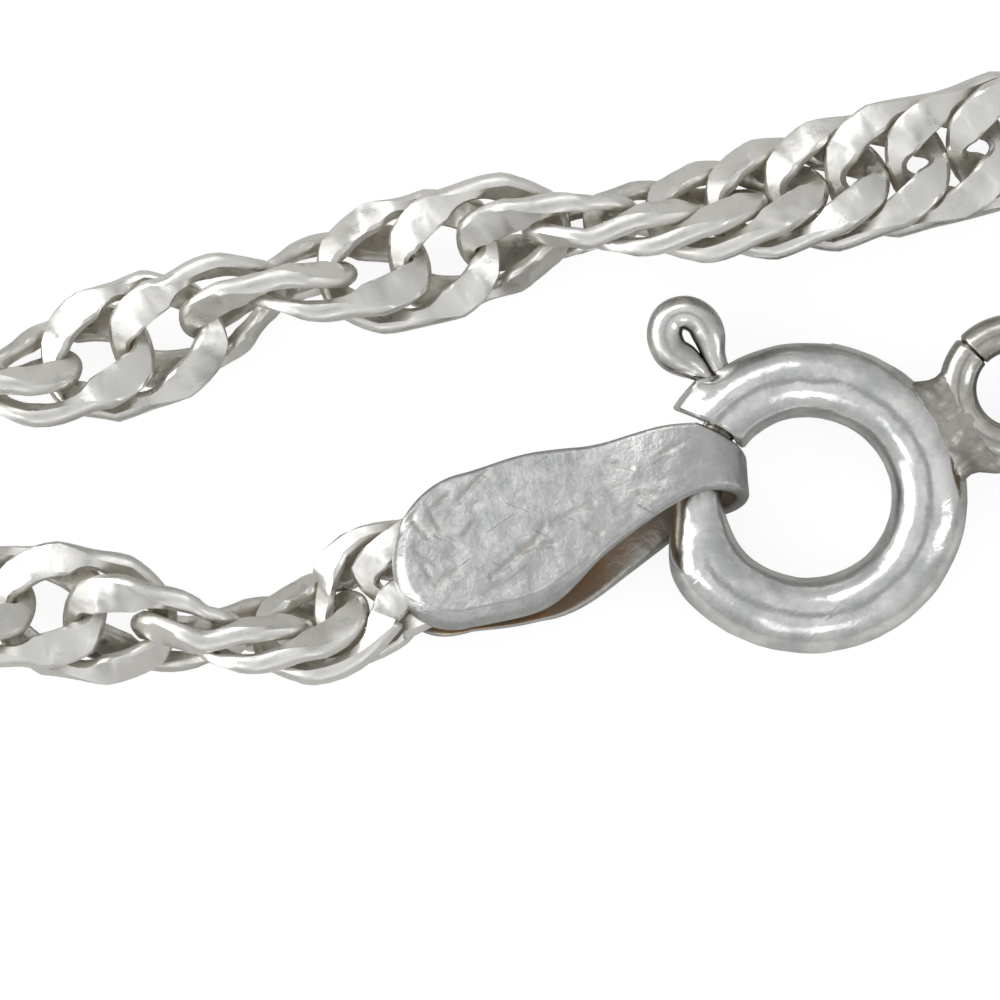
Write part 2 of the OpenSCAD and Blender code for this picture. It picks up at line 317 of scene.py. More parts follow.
def cut_silver():
    """Sterling silver chain wire, diamond cut: near-white metal with flat bright faces, and
    olive-grey where the wire is hemmed in at the crossings, partly real patina and partly painted
    shade, with the darkest specks there painted shade. Its patches are about half a millimetre
    across, and its specks a quarter."""
    material, tree = bare_material("diamond_cut_silver")
    place = add_node(tree, "ShaderNodeTexCoord")
    hollow = add_node(tree, "ShaderNodeAmbientOcclusion", {"Distance": 0.9 * MM}, samples=8)
    mottle = add_node(tree, "ShaderNodeTexNoise", {
        "Vector": place.outputs["Object"], "Scale": 2200, "Detail": 4})
    deep = add_node(tree, "ShaderNodeMapRange", {
        "Value": hollow.outputs["AO"], "From Min": 0.3, "From Max": 0.85, "To Min": 1,
        "To Max": 0})
    patches = add_node(tree, "ShaderNodeMapRange", {
        "Value": mottle, "From Min": 0.38, "From Max": 0.6})
    # Partly real patina, partly painted shade: olive-grey laid in patches where ambient occlusion
    # finds the wire hemmed in
    tarnish_and_shade = add_node(tree, "ShaderNodeMath", {
        0: deep, 1: patches}, operation="MULTIPLY", use_clamp=True)
    specks = add_node(tree, "ShaderNodeTexNoise", {
        "Vector": place.outputs["Object"], "Scale": 3600, "Detail": 3})
    speckled = add_node(tree, "ShaderNodeMapRange", {
        "Value": specks, "From Min": 0.62, "From Max": 0.7, "To Max": 0.75})
    grey = add_node(tree, "ShaderNodeMix", {
        0: tarnish_and_shade, 6: finish_colour("#E9E8E4"), 7: finish_colour("#B2AA98")}, data_type="RGBA")
    # Painted shade: the darkest colour laid in specks where the occlusion is deepest
    painted_shade_specks = add_node(tree, "ShaderNodeMath", {
        0: deep, 1: speckled}, operation="MULTIPLY", use_clamp=True)
    colour = add_node(tree, "ShaderNodeMix", {
        0: painted_shade_specks, 6: grey.outputs[2], 7: finish_colour("#5A5546")}, data_type="RGBA")
    bare = add_node(tree, "ShaderNodeMapRange", {"Value": tarnish_and_shade, "To Min": 1, "To Max": 0.3})
    rough = add_node(tree, "ShaderNodeMapRange", {
        "Value": mottle, "From Min": 0.35, "From Max": 0.65, "To Min": 0.25, "To Max": 0.48})
    dents = add_node(tree, "ShaderNodeTexNoise", {
        "Vector": place.outputs["Object"], "Scale": 1400, "Detail": 6})
    bump = add_node(tree, "ShaderNodeBump", {
        "Height": dents, "Strength": 0.55, "Distance": 0.06 * MM})
    surface = add_node(tree, "ShaderNodeBsdfPrincipled", {
        "Base Color": colour.outputs[2], "Metallic": bare, "Roughness": rough, "Normal": bump})
    add_node(tree, "ShaderNodeOutputMaterial", {"Surface": surface})
    return material


def linked_chain_tree():
    """Sets links in a row along X, fine ones where the camera is, and bends the row to the
    chain's route with the route's own twist."""
    tree = bpy.data.node_groups.new("linked_chain", "GeometryNodeTree")
    sizes = [("Row", "NodeSocketGeometry"), ("Fine link", "NodeSocketObject"),
             ("Plain link", "NodeSocketObject"), ("Route", "NodeSocketObject"),
             ("Before route", "NodeSocketFloat"), ("Sway", "NodeSocketFloat"),
             ("Flatness", "NodeSocketFloat"), ("Finish", "NodeSocketMaterial")]
    for name, kind in sizes:
        tree.interface.new_socket(name, in_out="INPUT", socket_type=kind)
    tree.interface.new_socket("Chain", in_out="OUTPUT", socket_type="NodeSocketGeometry")
    given = add_node(tree, "NodeGroupInput").outputs
    place = add_node(tree, "GeometryNodeInputPosition")
    split = add_node(tree, "ShaderNodeSeparateXYZ", {0: place})
    seen = add_node(tree, "GeometryNodeInputNamedAttribute", {"Name": "seen"}, data_type="BOOLEAN")
    pinched = add_node(tree, "GeometryNodeInputNamedAttribute", {
        "Name": "pinched"}, data_type="FLOAT_VECTOR")
    far = add_node(tree, "FunctionNodeBooleanMath", {0: seen}, operation="NOT")
    low = add_node(tree, "ShaderNodeVectorMath", {
        0: (-1, -1, -1), "Scale": given["Sway"]}, operation="SCALE")
    high = add_node(tree, "ShaderNodeVectorMath", {
        0: (1, 1, 1), "Scale": given["Sway"]}, operation="SCALE")
    sway = add_node(tree, "FunctionNodeRandomValue", {
        "Min": low, "Max": high, "Seed": 7}, data_type="FLOAT_VECTOR")
    strings = []
    for chosen, link in ((seen, "Fine link"), (far, "Plain link")):
        shape = add_node(tree, "GeometryNodeObjectInfo", {"Object": given[link]})
        strings.append(add_node(tree, "GeometryNodeInstanceOnPoints", {
            "Points": given["Row"], "Selection": chosen, "Instance": shape.outputs["Geometry"],
            "Rotation": sway, "Scale": pinched}))
    both = add_node(tree, "GeometryNodeJoinGeometry", {0: strings[0]})
    tree.links.new(strings[1].outputs[0], both.inputs[0])
    real = add_node(tree, "GeometryNodeRealizeInstances", {0: both})
    route = add_node(tree, "GeometryNodeObjectInfo", {"Object": given["Route"]})
    tilt = add_node(tree, "GeometryNodeInputCurveTilt")
    length = add_node(tree, "ShaderNodeMath", {
        0: split.outputs["X"], 1: given["Before route"]}, operation="ADD")
    spot = add_node(tree, "GeometryNodeSampleCurve", {
        "Curves": route.outputs["Geometry"], "Value": tilt, "Length": length}, mode="LENGTH")
    across = add_node(tree, "ShaderNodeVectorMath", {
        0: (0, 0, 1), 1: spot.outputs["Tangent"]}, operation="CROSS_PRODUCT")
    side = add_node(tree, "ShaderNodeVectorMath", {0: across}, operation="NORMALIZE")
    lift = add_node(tree, "ShaderNodeVectorMath", {
        0: spot.outputs["Tangent"], 1: side}, operation="CROSS_PRODUCT")
    section = add_node(tree, "ShaderNodeCombineXYZ", {
        "Y": split.outputs["Y"], "Z": split.outputs["Z"]})
    turned_section = add_node(tree, "ShaderNodeVectorRotate", {
        "Vector": section, "Angle": spot.outputs["Value"]}, rotation_type="X_AXIS")
    parts = add_node(tree, "ShaderNodeSeparateXYZ", {0: turned_section})
    sideways = add_node(tree, "ShaderNodeVectorMath", {
        0: side, "Scale": parts.outputs["Y"]}, operation="SCALE")
    pressed = add_node(tree, "ShaderNodeMath", {
        0: parts.outputs["Z"], 1: given["Flatness"]}, operation="MULTIPLY")
    upwards = add_node(tree, "ShaderNodeVectorMath", {
        0: lift, "Scale": pressed}, operation="SCALE")
    offset = add_node(tree, "ShaderNodeVectorMath", {0: sideways, 1: upwards}, operation="ADD")
    landed = add_node(tree, "ShaderNodeVectorMath", {
        0: spot.outputs["Position"], 1: offset}, operation="ADD")
    bent = add_node(tree, "GeometryNodeSetPosition", {"Geometry": real, "Position": landed})
    coated = add_node(tree, "GeometryNodeSetMaterial", {
        "Geometry": bent, "Material": given["Finish"]})
    add_node(tree, "NodeGroupOutput", {"Chain": coated})
    return tree


def made_by_nodes(name, mesh, tree, values):
    """Runs a node tree on a mesh with its named inputs and returns its result as a plain mesh
    object."""
    maker = bpy.data.objects.new(name + "_start", mesh)
    bpy.context.scene.collection.objects.link(maker)
    modifier = maker.modifiers.new("nodes", "NODES")
    modifier.node_group = tree
    for item in tree.interface.items_tree:
        if item.in_out == "INPUT" and item.name in values:
            modifier[item.identifier] = values[item.name]
    depsgraph = bpy.context.evaluated_depsgraph_get()
    result = bpy.data.meshes.new_from_object(maker.evaluated_get(depsgraph), depsgraph=depsgraph)
    result.name = name
    piece = bpy.data.objects.new(name, result)
    bpy.context.scene.collection.objects.link(piece)
    bpy.data.objects.remove(maker)
    return piece


fine_link = curb_link("fine_link", 56, FINE_SECTION)
plain_link = curb_link("plain_link", 14, PLAIN_SECTION)
chain_silver = cut_silver()
chain = made_by_nodes("chain_links", link_row(), linked_chain_tree(), {
    "Fine link": fine_link, "Plain link": plain_link, "Route": chain_route,
    "Before route": tip_at * MM, "Sway": math.radians(1.5), "Flatness": 0.88,
    "Finish": chain_silver})
for helper in (fine_link, plain_link, chain_route):
    bpy.data.objects.remove(helper)
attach(chain, "necklace")
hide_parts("chain")

# The two end tags: a strip of silver pressed to a neck between two round lobes, folded over a
# wire with the chain's last link pinched between its leaves. Years of wear have rounded its
# rims, dented and scored its face, and left a brown film between the leaves.
# Half the strip's thickness, and how far its middle stands off the tag's middle at the fold and
# past the neck's end. The far lobe's middle along the tag, and its lean past there.
STRIP_HALF = 0.13
FOLD_MID = 0.75
LEAF_MID = 0.51
NECK_END = 2.4
LOBE_MIDDLE = 4.77
LOBE_LEAN = 0.19
# Round the fold's bend the strip's near edge is cut back
BEND_CUT = 0.27
# The fold lies flatter than the lobes: how far it is turned back, and over what length
FOLD_UNROLL = 14
UNROLL_LENGTH = 2.6
# Along the tag from the middle of its fold: the near edge and the far edge of each leaf
FRONT_EDGES = [(0, -0.97, 0.38), (0.5, -1.03, 0.57), (1.03, -0.98, 0.82), (2.04, -0.81, 1.42),
               (2.71, -0.83, 2.0), (3.1, -0.82, 2.26), (3.5, -0.8, 2.43),
               (LOBE_MIDDLE, -0.5, 2.57)]
BACK_EDGES = [(0, -0.5, 0.4), (0.5, -0.6, 0.74), (1.04, -0.7, 1.12), (1.8, -0.7, 1.65),
              (2.2, -0.75, 1.98), (3, -0.8, 2.41), (4, -0.7, 2.55), (LOBE_MIDDLE, -0.5, 2.55)]
# How far the back leaf's far rim leans in towards the front leaf, along the tag
RIM_LEAN = [(1.5, 0), (2.6, 0.2), (3.4, 0.46), (4.6, 0.52), (TAG_LENGTH, 0.4)]
# The front leaf's rim is pressed down all round its lobe: its width and its slope, first at
# the tip and then along the far side. Then a start and a run for each: across the tip from the
# one to the other, and where the rim begins at the tip, along the far side and across.
RIM_WIDE = (0.27, 0.25)
RIM_SLOPE = (0.53, 0.95)
RIM_CHANGE = (0.25, 0.6)
RIM_AT_TIP = (0.42, 0.25)
RIM_ALONG = (2.2, 0.9)
RIM_ACROSS = (-0.85, 0.3)
# Scores and dents in the front face: from, to, half width and depth. They fade out this far
# from the strip's edge.
MARK_FADE = 0.2
MARKS = [((5.35, 0.2), (5.2, 0.6), 0.03, 0.03), ((4.95, -0.1), (5.25, 0.15), 0.04, 0.025),
         ((4.55, 0.55), (4.75, 0.85), 0.035, 0.03), ((5.6, 1.3), (5.45, 1.6), 0.04, 0.03),
         ((1.65, -0.35), (1.35, -0.2), 0.05, 0.03), ((1.25, 0.35), (1.05, 0.45), 0.06, 0.03),
         ((2.3, 0.9), (2.1, 1.05), 0.05, 0.02), ((4.3, 1.72), (3.38, 1.07), 0.035, 0.035),
         ((3.67, 1.2), (3.03, 1.17), 0.045, 0.04), ((3.38, 1.07), (3.15, 0.76), 0.035, 0.03),
         ((2.99, 0.75), (2.19, 0.42), 0.06, 0.02),
         ((4.14, -0.53), (4.8, 0.09), 0.045, 0.03), ((0.74, -0.4), (0.33, -0.56), 0.03, 0.03),
         ((5.7, 0.35), (5.45, 0.75), 0.05, 0.03), ((5.72, 0.95), (5.35, 1.3), 0.07, 0.025),
         ((5.35, 1.75), (4.9, 1.5), 0.05, 0.025), ((4.5, 0.3), (4.4, 0.9), 0.18, 0.02),
         ((5.1, 0.5), (5.0, 1.1), 0.22, 0.025), ((1.9, -0.1), (1.5, 0.6), 0.2, 0.03),
         ((1.1, 0.0), (0.8, 0.1), 0.16, 0.025), ((3.9, 1.9), (4.4, 2.0), 0.12, 0.015)]
# Dents all over: how many to a millimetre, and how deep
BROAD_DENT = (0.55, 0.03)
SMALL_DENT = (1.9, 0.012)
GRAIN = (5, 0.006)
# The strip's mesh: rows along a leaf, over its round end and round the fold, and points across
LEAF_ROWS = 110
END_ROWS = 36
FOLD_ROWS = 34
POINTS_ACROSS = 72
# The leaves' edges are eased over this length of the tables
EDGE_EASE = np.linspace(-0.35, 0.35, 15)


def smooth_step(t):
    t = np.clip(t, 0, 1)
    return t * t * (3 - 2 * t)


def begun(value, start_and_run):
    """0 before the start, 1 after the run, and eased between."""
    return smooth_step((value - start_and_run[0]) / start_and_run[1])


def leaf_edges(table, x):
    """The leaf's two edges at a distance from the fold, eased between the table's rows."""
    rows = np.array(table)
    return tuple(np.interp(x + EDGE_EASE, rows[:, 0], rows[:, k]).mean() for k in (1, 2))


def leaf_point(table, side, u, v):
    """A point of one leaf's middle surface and its distance from the leaf's edge. From the fold
    to the lobe's middle u goes from -1 to 0, and over the lobe's round end from 0 to 1."""
    x = LOBE_MIDDLE * (1 + min(u, 0))
    near, far = leaf_edges(table, x)
    middle, half = (near + far) / 2, (far - near) / 2
    across = v
    reach = abs(v)
    if u > 0:
        x += (TAG_LENGTH - LOBE_MIDDLE) * u * math.sqrt(1 - v * v / 2)
        across = v * math.sqrt(1 - u * u / 2)
        reach = math.sqrt(min(1, u * u + v * v - u * u * v * v))
    y = middle + across * half + max(0, x - LOBE_MIDDLE) * LOBE_LEAN
    z = LEAF_MID + (FOLD_MID - LEAF_MID) * smooth_step(1 - x / NECK_END)
    edge = half * (1 - reach)
    if side == 1:
        far_side = begun(v, RIM_CHANGE) if u > 0 else 1
        pressed = begun(u, RIM_AT_TIP) if v < 0 else begun(x, RIM_ALONG)
        wide = RIM_WIDE[0] + (RIM_WIDE[1] - RIM_WIDE[0]) * far_side
        slope = RIM_SLOPE[0] + (RIM_SLOPE[1] - RIM_SLOPE[0]) * far_side
        z -= pressed * begun(v, RIM_ACROSS) * slope * max(0, wide - edge)
    else:
        z -= np.interp(x, *np.array(RIM_LEAN).T) * max(0, across) ** 4
    return np.array([x, y, side * z]), edge


def strip_grid(across):
    """The strip's middle surface, its normals and its distances from the edge, from the front
    leaf's tip over the fold to the back leaf's tip."""
    v_row = np.sin(np.linspace(-1, 1, across) * math.pi / 2)
    body = np.linspace(0, -1, LEAF_ROWS)
    cap = np.sin(np.linspace(1, 0, END_ROWS) * math.pi / 2)[:-1]
    near, far = leaf_edges(FRONT_EDGES, 0)
    near_back, far_back = leaf_edges(BACK_EDGES, 0)
    points, normals = [], []
    for u in np.r_[cap, body]:
        points.append([leaf_point(FRONT_EDGES, 1, u, v) for v in v_row])
        normals.append([(0, 0, 1)] * across)
    for a in np.linspace(0, math.pi, FOLD_ROWS)[1:-1]:
        share = a / math.pi
        row = []
        low = near + (near_back - near) * share + BEND_CUT * math.sin(a)
        high = far + (far_back - far) * share
        for v in v_row:
            y = (low + high) / 2 + v * (high - low) / 2
            spot = np.array([-FOLD_MID * math.sin(a), y, FOLD_MID * math.cos(a)])
            row.append((spot, (high - low) / 2 * (1 - abs(v))))
        points.append(row)
        normals.append([(-math.sin(a), 0, math.cos(a))] * across)
    for u in np.r_[cap, body][::-1]:
        points.append([leaf_point(BACK_EDGES, -1, u, v) for v in v_row])
        normals.append([(0, 0, -1)] * across)
    spots = np.array([[p[0] for p in row] for row in points])
    edge = np.array([[p[1] for p in row] for row in points])
    return spots, np.array(normals, float), edge


def mark_depth(spot):
    """How deep the scores and dents go at a place on the front face."""
    depth = 0
    for start, end, wide, deep in MARKS:
        start, run = np.array(start), np.array(end) - np.array(start)
        t = np.clip(np.dot(spot[:2] - start, run) / np.dot(run, run), 0, 1)
        off = np.linalg.norm(spot[:2] - start - run * t)
        depth += deep * math.exp(-(off / wide) ** 2)
    return depth


def end_tag(name, place, seed, finish):
    """One folded tag in its place: the strip's middle surface, dented, with its thickness, which
    runs out in a round rim."""
    spots, normals, edge = strip_grid(POINTS_ACROSS)
    count, across = edge.shape
    thick = STRIP_HALF * np.sqrt(1 - (1 - np.clip(edge / STRIP_HALF, 0, 1)) ** 2)
    top, under = spots.copy(), spots.copy()
    for i in range(count):
        for k in range(across):
            spot = Vector(spots[i, k])
            broad = noise.noise(spot * BROAD_DENT[0] + Vector((seed, 0, 0)))
            small = noise.noise(spot * SMALL_DENT[0] + Vector((0, seed, 0)))
            grain = noise.noise(spot * GRAIN[0] + Vector((0, 0, seed)))
            dent = BROAD_DENT[1] * broad + SMALL_DENT[1] * small
            skin = GRAIN[1] * grain * min(1, edge[i, k] / STRIP_HALF)
            if normals[i, k, 2] == 1:
                skin -= mark_depth(spots[i, k]) * min(1, edge[i, k] / MARK_FADE)
            top[i, k] += normals[i, k] * (dent + thick[i, k] + skin)
            under[i, k] += normals[i, k] * (dent - thick[i, k])
    points = np.concatenate([top.reshape(-1, 3), under.reshape(-1, 3)])
    size = count * across
    faces = []
    for i in range(count - 1):
        for k in range(across - 1):
            a, b = i * across + k, (i + 1) * across + k
            faces += [(a, b, b + 1, a + 1), (size + a, size + a + 1, size + b + 1, size + b)]
    at, z, direction, roll = place
    c, s = heading(direction)
    cr, sr = heading(roll)
    rolled = np.radians(roll - FOLD_UNROLL * (1 - smooth_step(points[:, 0] / UNROLL_LENGTH)))
    turned_y = points[:, 1] * cr - points[:, 2] * sr
    in_place = np.stack([at[0] + points[:, 0] * c - turned_y * s,
                         at[1] + points[:, 0] * s + turned_y * c,
                         z + points[:, 1] * np.sin(rolled) + points[:, 2] * cr], 1)
    mesh = bpy.data.meshes.new(name)
    mesh.from_pydata([tuple(p * MM) for p in in_place], [], faces)
    closed_outwards(mesh)
    mesh.shade_smooth()
    mesh.materials.append(finish)
    tag = bpy.data.objects.new(name, mesh)
    bpy.context.scene.collection.objects.link(tag)
    return tag


SAME_PLACE = 0.0002


def closed_outwards(mesh):
    """Joins the points that lie on each other and turns all faces outwards."""
    shape = bmesh.new()
    shape.from_mesh(mesh)
    bmesh.ops.remove_doubles(shape, verts=shape.verts, dist=SAME_PLACE * MM)
    bmesh.ops.recalc_face_normals(shape, faces=shape.faces)
    shape.to_mesh(mesh)
    shape.free()


def pressed_silver():
    """Pressed sterling strip, worn by the skin: pale blue-grey with a soft sheen, cloudy patches
    about half a millimetre across, a web of scratches over a millimetre long, drawn a tenth of a
    millimetre wide so that they show, and a brown film where the leaves face each other."""
    material, tree = bare_material("pressed_silver")
    place = add_node(tree, "ShaderNodeTexCoord")
    hollow = add_node(tree, "ShaderNodeAmbientOcclusion", {
        "Distance": 1.3 * MM}, samples=5, only_local=True)
    cloud = add_node(tree, "ShaderNodeTexNoise", {
        "Vector": place.outputs["Object"], "Scale": 2100, "Detail": 7, "Roughness": 0.66})
    film = add_node(tree, "ShaderNodeMapRange", {
        "Value": hollow.outputs["AO"], "From Min": 0.4, "From Max": 0.97, "To Min": 1,
        "To Max": 0})
    patchy = add_node(tree, "ShaderNodeMapRange", {
        "Value": cloud, "From Min": 0.3, "From Max": 0.55, "To Min": 0.5, "To Max": 1})
    brown = add_node(tree, "ShaderNodeMath", {0: film, 1: patchy}, operation="MULTIPLY")
    contrast = add_node(tree, "ShaderNodeMapRange", {
        "Value": cloud, "From Min": 0.36, "From Max": 0.62})
    pale = add_node(tree, "ShaderNodeMix", {
        0: contrast, 6: finish_colour("#B1B3B3"), 7: finish_colour("#C5C6C4")}, data_type="RGBA")
    colour = add_node(tree, "ShaderNodeMix", {
        0: brown, 6: pale.outputs[2], 7: finish_colour("#B08648")}, data_type="RGBA")
    bare = add_node(tree, "ShaderNodeMapRange", {"Value": brown, "To Min": 1, "To Max": 0.15})
    rough = add_node(tree, "ShaderNodeMapRange", {
        "Value": contrast, "To Min": 0.42, "To Max": 0.3})
    height = None
    for angle, length in ((38, 1.6), (-25, 1.1)):
        drawn = add_node(tree, "ShaderNodeMapping", {
            "Vector": place.outputs["Object"], "Rotation": (0, 0, math.radians(angle)),
            "Scale": (length * MM, 0.1 * MM, 1.5 * MM)}, vector_type="TEXTURE")
        streak = add_node(tree, "ShaderNodeTexNoise", {"Vector": drawn, "Scale": 1, "Detail": 2})
        score = add_node(tree, "ShaderNodeMapRange", {
            "Value": streak, "From Min": 0.7, "From Max": 0.78, "To Min": 0, "To Max": -0.4})
        if height is None:
            height = score
        else:
            height = add_node(tree, "ShaderNodeMath", {0: height, 1: score}, operation="ADD")
    dents = add_node(tree, "ShaderNodeTexNoise", {
        "Vector": place.outputs["Object"], "Scale": 2600, "Detail": 7, "Roughness": 0.62})
    relief = add_node(tree, "ShaderNodeMath", {0: height, 1: dents}, operation="ADD")
    bump = add_node(tree, "ShaderNodeBump", {
        "Height": relief, "Strength": 0.8, "Distance": 0.05 * MM})
    surface = add_node(tree, "ShaderNodeBsdfPrincipled", {
        "Base Color": colour.outputs[2], "Metallic": bare, "Roughness": rough, "Normal": bump})
    add_node(tree, "ShaderNodeOutputMaterial", {"Surface": surface})
    return material


tag_silver = pressed_silver()
for tag_name, tag_place, tag_seed in (("hook_tag", HOOK_PLACE, 3.7), ("eye_tag", EYE_PLACE, 8.2)):
    tag = end_tag("pressed_" + tag_name, tag_place, tag_seed, tag_silver)
    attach(tag, "necklace")
    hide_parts(tag_name)

# The clasp ring: silver tube drawn round into a ring, its far end tapered to take the gate wire
# and its near end cut off, with a slot in its outer wall whose lips are pressed outwards. A
# round wire eye is soldered to it, and the solder has run into a rough web between them.
RING_Z = 1.1723
# The bore's radius, and the least wall that it leaves where the tube is tapered
BORE_R = 0.41
LEAST_WALL = 0.085
# The angles at which the tube ends
RECEIVING_END = 174
KNOB_END = 147.3
# The ring is a little oval: angle, the tube's middle line and the tube's radius
TUBE_LINE = [(181, 2.29, 0.46), (188, 2.29, 0.51), (194, 2.33, 0.58), (200, 2.4, 0.66),
             (206, 2.455, 0.72), (212, 2.475, 0.743), (220, 2.45, 0.743), (230, 2.4, 0.743),
             (240, 2.355, 0.743), (250, 2.32, 0.743), (270, 2.27, 0.743), (290, 2.235, 0.743),
             (330, 2.225, 0.743), (360, 2.24, 0.743), (420, 2.265, 0.743), (450, 2.33, 0.743),
             (470, 2.4, 0.743), (490, 2.44, 0.743), (508, 2.44, 0.743)]
TUBE_EASE = np.linspace(-7, 7, 15)
# The knob's end is cut aslant and hollowed over its last degrees, and both ends are rounded
END_SLANT = 0.1
END_BOW = 0.24
END_RUN = 16
END_ROUND = 0.045
# The slot's lips: how far they rise, where they start round the ring and over how many degrees,
# and how far they reach round the tube
LIP_RISE = 0.14
LIP_START = (131, 4)
LIP_ROUND = (52, 24)
SLOT_START = 84
SLOT_HALF = 0.21
SLOT_REACH = 1.25
# The eye's wire, and the angle of its closed joint and the joint's groove
EYE_WIRE_R = 0.37
EYE_JOINT = 137
GROOVE_DEEP = 0.07
GROOVE_WIDE = 1.4
# The solder web: its reach from the ring's middle, its two half widths and its half height
WEB_ROWS = [(2.35, 1.5, 1.55, 0.5), (2.6, 1.28, 1.34, 0.54), (2.7, 1.19, 1.25, 0.54),
            (2.85, 1.09, 1.09, 0.51), (3.0, 1.02, 1.06, 0.46), (3.15, 0.96, 1.1, 0.42),
            (3.3, 0.94, 1.2, 0.39), (3.45, 0.98, 1.3, 0.36), (3.6, 1.07, 1.34, 0.3)]


def ring_point(angle, reach, z=0.0):
    d = heading(angle)
    return np.array([RING_AT[0] + d[0] * reach, RING_AT[1] + d[1] * reach, RING_Z + z])


def swept(name, sections, corners, reach=None, closed=False):
    """A bar swept through sections, each a middle point, an outward direction in plan and a
    radius. A reach function may change the bar's section: it gives the point's distance outwards,
    its height and its shift along the bar."""
    points, faces = [], []
    for i, (middle, outward, radius) in enumerate(sections):
        onward = np.array([-outward[1], outward[0], 0])
        for a in np.arange(corners) * 360 / corners:
            out, up = heading(a) * radius
            shift = 0
            if reach:
                out, up, shift = reach(i, a, radius)
            points.append(middle + outward * out + onward * shift + np.array([0, 0, up]))
    for i in range(len(sections) - (0 if closed else 1)):
        j = (i + 1) % len(sections)
        for k in range(corners):
            m = (k + 1) % corners
            faces.append((i * corners + k, i * corners + m, j * corners + m, j * corners + k))
    if not closed:
        for first in (0, (len(sections) - 1) * corners):
            points.append(np.mean(points[first:first + corners], axis=0))
            for k in range(corners):
                faces.append((len(points) - 1, first + k, first + (k + 1) % corners))
    mesh = bpy.data.meshes.new(name)
    mesh.from_pydata([tuple(p * MM) for p in points], [], faces)
    closed_outwards(mesh)
    bar = bpy.data.objects.new(name, mesh)
    bpy.context.scene.collection.objects.link(bar)
    return bar


def around_ring(start, end, step, radius, reach=lambda angle: RING_MID):
    """Sections of a bar that follows the ring from one angle to another."""
    angles = np.linspace(start, end, int((end - start) / step) + 1)
    return [(ring_point(a, reach(a)), np.array([*heading(a), 0]), radius(a)) for a in angles]


def tube_at(column):
    """The tube's middle line or radius by angle, eased between the table's rows."""
    rows = np.array(TUBE_LINE)
    return lambda angle: np.interp(angle + TUBE_EASE, rows[:, 0], rows[:, column]).mean()


tube_reach = tube_at(1)
tube_radius = tube_at(2)
tube = around_ring(RECEIVING_END, KNOB_END + 360, 2, tube_radius, tube_reach)
tube_angles = list(np.linspace(RECEIVING_END, KNOB_END + 360, len(tube)))
for end, inner in ((0, 1), (-1, -2)):
    middle, outward, radius = tube[end]
    tube[end] = (middle, outward, radius - END_ROUND)
    place_before = 1 if end == 0 else -1
    tube.insert(place_before, (middle + (tube[inner][0] - middle) * 0.5, outward, radius))
    tube_angles.insert(place_before, tube_angles[end])


def tube_section(i, a, radius):
    """The tube's wall: dented a little everywhere, drawn out in the slot's lips, and cut off
    aslant at the knob's end."""
    angle = tube_angles[i] - 360
    side = abs((a + 180) % 360 - 180)
    lip = LIP_RISE * smooth_step((LIP_ROUND[0] - side) / LIP_ROUND[1]) * begun(angle, LIP_START)
    out, up = heading(a) * radius
    spot = Vector(tube[i][0] + tube[i][1] * out) + Vector((0, 0, up))
    dent = 0.012 * noise.noise(spot * 1.6) + 0.007 * noise.noise(spot * 4.5)
    out, up = heading(a) * (radius + dent)
    near_end = smooth_step((angle - KNOB_END + END_RUN) / END_RUN)
    shift = near_end * (END_SLANT * out - END_BOW * abs(up))
    return out + lip, up, shift


ring = swept("bolt_ring_clasp", tube, 64, tube_section)
# Both cutting shapes run a few degrees past the tube's ends
bore = swept("bore", around_ring(RECEIVING_END - 4, KNOB_END + 366, 4,
                                 lambda a: min(BORE_R, tube_radius(a) - LEAST_WALL)), 28)
slot_corners = [(-0.05, -SLOT_HALF), (SLOT_REACH, -SLOT_HALF), (SLOT_REACH, SLOT_HALF),
                (-0.05, SLOT_HALF)]


def slot_section(i, a, radius):
    return *slot_corners[int(a // 90)], 0


slot = swept("slot", around_ring(SLOT_START, KNOB_END + 6, 3, lambda a: 1), 4, slot_section)

eye_at = ring_point(EYE_ANGLE, EYE_REACH)
eye_sections = []
for a in np.r_[np.arange(0, 130, 5), np.arange(130, 145, 1), np.arange(145, 360, 5)]:
    outward = np.array([*heading(a), 0])
    groove = GROOVE_DEEP * math.exp(-((a - EYE_JOINT) / GROOVE_WIDE) ** 2)
    eye_sections.append((eye_at + outward * EYE_MID, outward, EYE_WIRE_R - groove))
eye = swept("eye", eye_sections, 36, closed=True)

web_line = np.array(WEB_ROWS)
WEB_STEPS = 36
web_reach = np.linspace(web_line[0, 0], web_line[-1, 0], WEB_STEPS)
web_wide = {1: np.interp(web_reach, web_line[:, 0], web_line[:, 1]),
            -1: np.interp(web_reach, web_line[:, 0], web_line[:, 2])}
web_high = np.interp(web_reach, web_line[:, 0], web_line[:, 3])
web_along = np.array([*heading(EYE_ANGLE + 90), 0])
WEB_CORNERS = 96


def web_section(i, a, radius):
    """The web's section across the joint: flat on top and round at its two edges."""
    c, s = heading(a)
    side = 1 if c >= 0 else -1
    out = side * abs(c) ** 0.75 * web_wide[side][i]
    bend = 0.09 * (out / web_wide[side][i]) ** 2
    up = math.copysign(abs(s) ** 0.6, s) * web_high[i]
    spot = Vector((out, up, web_reach[i]))
    up *= 1 + 0.09 * noise.noise(spot * 2.2) + 0.06 * noise.noise(spot * 6)
    return out, up, bend


web_sections = [(ring_point(EYE_ANGLE, reach), web_along, 1) for reach in web_reach]
web = swept("solder_web", web_sections, WEB_CORNERS, web_section)


